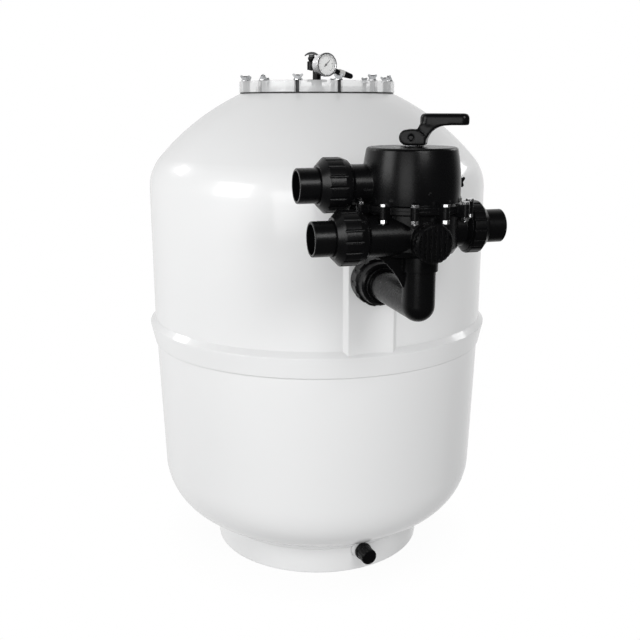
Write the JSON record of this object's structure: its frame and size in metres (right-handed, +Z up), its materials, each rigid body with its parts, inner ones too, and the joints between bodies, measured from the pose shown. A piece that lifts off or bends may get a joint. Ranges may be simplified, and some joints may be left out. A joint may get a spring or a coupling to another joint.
{
  "type": "sand filter tank",
  "caption": "White side-mount pool sand filter tank on a foot ring, with a clear bolted lid, pressure gauge, drain and a black multiport valve joined to two side ports.",
  "frame": {"origin": "centre of the foot ring on the floor, on the tank's vertical axis", "axes": "+Z up; the valve and its ports are on the -Y side; the waste pipe leaves towards +X and the pump and return pipes towards -X"},
  "size_m": [0.6789, 0.9287, 0.9967],
  "materials": {
    "tank_white": "gloss moulded white",
    "lid_clear": "clear moulded lid",
    "lens_clear": "clear lens",
    "stud_dark": "dark coated steel",
    "wing_grey": "satin grey",
    "knob_grey": "dark grey moulding",
    "bright_steel": "bright stainless",
    "valve_black": "satin black moulding",
    "fitting_black": "black moulding",
    "collar_pale": "pale moulding",
    "dial_white": "printed dial",
    "needle_black": "black needle",
    "inner_plastic": "plain moulding",
    "seal_rubber": "black rubber"
  },
  "bodies": {
    "tank": {"foot_skirt": "tank_white", "lower_shell": "tank_white", "upper_shell": "tank_white", "lid_gasket": "seal_rubber", "lid_studs": "stud_dark", "bulkheads": "fitting_black", "bulkhead_gaskets": "seal_rubber", "bulkhead_locknuts": "fitting_black", "collector_hub": "inner_plastic", "laterals": "inner_plastic", "collector_pipe": "inner_plastic", "diffuser_pipe": "inner_plastic", "top_diffuser": "inner_plastic", "drain_body": "fitting_black", "drain_gasket": "seal_rubber", "drain_strainer": "inner_plastic", "valve_body": "valve_black", "valve_cover": "valve_black", "cover_oring": "seal_rubber", "flange_bolts": "bright_steel", "flange_nuts": "bright_steel", "spider_gasket": "seal_rubber", "plug_seal": "seal_rubber", "union_seals": "seal_rubber", "pump_tail": "fitting_black", "return_tail": "fitting_black", "waste_tail": "fitting_black", "bottom_elbow": "valve_black"},
    "lid": {"lid": "lid_clear", "lid_washers": "bright_steel", "wing_nuts": "wing_grey", "manifold": "fitting_black", "manifold_oring": "seal_rubber", "manifold_locknut": "fitting_black", "bleed_spout": "fitting_black", "bleed_collar": "collar_pale", "gauge_case": "bright_steel", "gauge_bezel": "bright_steel", "gauge_dial": "dial_white", "gauge_lens": "lens_clear"},
    "needle": {"gauge_needle": "needle_black"},
    "bleed_knob": {"bleed_knob": "knob_grey"},
    "drain_cap": {"drain_cap": "fitting_black", "drain_seal": "seal_rubber"},
    "front_plug": {"front_plug": "valve_black"},
    "cover_plug": {"cover_plug": "valve_black"},
    "spring_seat": {"thrust_washer": "inner_plastic", "rotor_spring": "bright_steel"},
    "rotor": {"rotor": "inner_plastic", "handle_pin": "fitting_black", "shaft_orings": "seal_rubber"},
    "handle": {"handle": "valve_black"},
    "pump_nut": {"pump_union_nut": "fitting_black"},
    "return_nut": {"return_union_nut": "fitting_black"},
    "waste_nut": {"waste_union_nut": "fitting_black"},
    "lower_nut": {"lower_union_nut": "fitting_black"},
    "upper_nut": {"upper_union_nut": "fitting_black"}
  },
  "joints": [
    {"name": "lid_lift", "type": "slide", "parent": "tank", "child": "lid", "axis": [0, 0, 1], "range_m": [0, 0.25]},
    {"name": "needle_sweep", "type": "hinge", "parent": "lid", "child": "needle", "pos_m": [0, 0, 0.9708], "axis": [0.2419, -0.9703, 0], "range_deg": [-90, 180]},
    {"name": "bleed_turn", "type": "hinge", "parent": "lid", "child": "bleed_knob", "pos_m": [-0.00484, 0.01941, 0.98], "axis": [0, 0, 1], "continuous": true},
    {"name": "drain_cap_turn", "type": "hinge", "parent": "tank", "child": "drain_cap", "pos_m": [0, 0, 0.046], "axis": [0.1219, -0.9925, 0], "continuous": true},
    {"name": "front_plug_turn", "type": "hinge", "parent": "tank", "child": "front_plug", "pos_m": [0, -0.58, 0.71], "axis": [0, -1, 0], "continuous": true},
    {"name": "cover_plug_turn", "type": "hinge", "parent": "tank", "child": "cover_plug", "pos_m": [0.07, -0.496, 0.7855], "axis": [1, 0, 0], "continuous": true},
    {"name": "selector_turn", "type": "hinge", "parent": "tank", "child": "spring_seat", "pos_m": [0, -0.496, 0.8], "axis": [0, 0, 1], "continuous": true},
    {"name": "rotor_lift", "type": "slide", "parent": "spring_seat", "child": "rotor", "axis": [0, 0, 1], "range_m": [0, 0.0042], "stiffness_N_per_m": 400, "springref_m": -0.01, "deforming": ["rotor_spring"]},
    {"name": "handle_press", "type": "hinge", "parent": "rotor", "child": "handle", "pos_m": [0, -0.496, 0.851], "axis": [0.5, 0.866, 0], "range_deg": [0, 15]},
    {"name": "pump_nut_turn", "type": "hinge", "parent": "tank", "child": "pump_nut", "pos_m": [-0.12, -0.492, 0.7855], "axis": [-1, 0, 0], "continuous": true},
    {"name": "return_nut_turn", "type": "hinge", "parent": "tank", "child": "return_nut", "pos_m": [-0.11, -0.536, 0.716], "axis": [-1, 0, 0], "continuous": true},
    {"name": "waste_nut_turn", "type": "hinge", "parent": "tank", "child": "waste_nut", "pos_m": [0.11, -0.484, 0.717], "axis": [1, 0, 0], "continuous": true},
    {"name": "lower_nut_turn", "type": "hinge", "parent": "tank", "child": "lower_nut", "pos_m": [0, -0.36, 0.612], "axis": [0, -1, 0], "continuous": true},
    {"name": "upper_nut_turn", "type": "hinge", "parent": "tank", "child": "upper_nut", "pos_m": [0, -0.36, 0.722], "axis": [0, -1, 0], "continuous": true}
  ],
  "couplings": [
    {"joint": "handle_press", "follows": "rotor_lift", "rad_per_m": 62.33}
  ]
}
